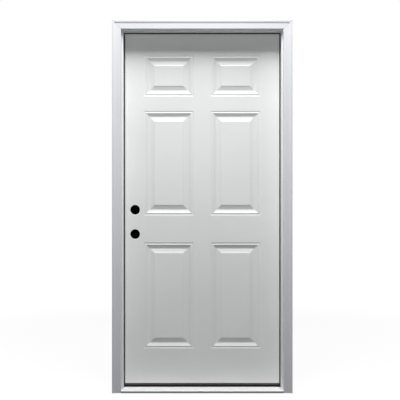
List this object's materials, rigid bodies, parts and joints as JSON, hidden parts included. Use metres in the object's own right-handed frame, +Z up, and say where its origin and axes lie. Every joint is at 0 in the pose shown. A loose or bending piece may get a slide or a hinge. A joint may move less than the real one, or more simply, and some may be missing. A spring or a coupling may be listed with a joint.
{
  "type": "panelled front door with frame",
  "caption": "White embossed steel entry door with raised panels and open lock holes, prehung in a rabbeted frame with mitred brickmould, weatherstrip and metal sill.",
  "frame": {"origin": "middle of the doorway, at the underside of the sill, in the plane where the back of the brickmould meets the wall", "axes": "+X to the right as seen from outdoors (the hinge side), +Y indoors, +Z up"},
  "size_m": [1.016, 0.1665, 2.1008],
  "materials": {
    "door_paint": "satin white enamel on embossed steel",
    "foam": "rigid foam",
    "timber": "bare softwood",
    "sweep_vinyl": "dark brown vinyl",
    "jamb_paint": "white primed softwood",
    "brickmould_paint": "white primed softwood",
    "sill_composite": "moulded composite",
    "sill_aluminium": "bright satin anodised",
    "cap_composite": "very dark bronze composite",
    "brass_screws": "plain brass",
    "zinc_screws": "zinc plated",
    "weatherstrip_foam": "black skinned foam",
    "pad_foam": "black foam",
    "hinge_metal": "satin nickel",
    "hinge_screws": "satin nickel"
  },
  "bodies": {
    "frame": {"hinge_jamb": "jamb_paint", "strike_jamb": "jamb_paint", "head_jamb": "jamb_paint", "brickmould_left": "brickmould_paint", "brickmould_right": "brickmould_paint", "brickmould_head": "brickmould_paint", "sill_substrate": "sill_composite", "sill_tread": "sill_aluminium", "sill_cap": "cap_composite", "sill_cap_screws": "brass_screws", "frame_screws": "zinc_screws", "weatherstrip_hinge_side": "weatherstrip_foam", "weatherstrip_strike_side": "weatherstrip_foam", "weatherstrip_head": "weatherstrip_foam", "corner_pad_hinge_side": "pad_foam", "corner_pad_strike_side": "pad_foam", "top_hinge_jamb_leaf": "hinge_metal", "middle_hinge_jamb_leaf": "hinge_metal", "bottom_hinge_jamb_leaf": "hinge_metal", "top_hinge_pin": "hinge_metal", "middle_hinge_pin": "hinge_metal", "bottom_hinge_pin": "hinge_metal", "jamb_leaf_screws": "hinge_screws"},
    "door": {"exterior_skin": "door_paint", "interior_skin": "door_paint", "foam_core": "foam", "hinge_stile": "timber", "lock_stile": "timber", "top_rail": "timber", "bottom_rail": "timber", "lock_block": "timber", "door_sweep": "sweep_vinyl", "top_hinge_door_leaf": "hinge_metal", "middle_hinge_door_leaf": "hinge_metal", "bottom_hinge_door_leaf": "hinge_metal", "door_leaf_screws": "hinge_screws"}
  },
  "joints": [
    {"name": "door_swing", "type": "hinge", "parent": "frame", "child": "door", "pos_m": [0.45561, 0.1286, 1.03], "axis": [0, 0, -1], "range_deg": [0, 175]}
  ]
}
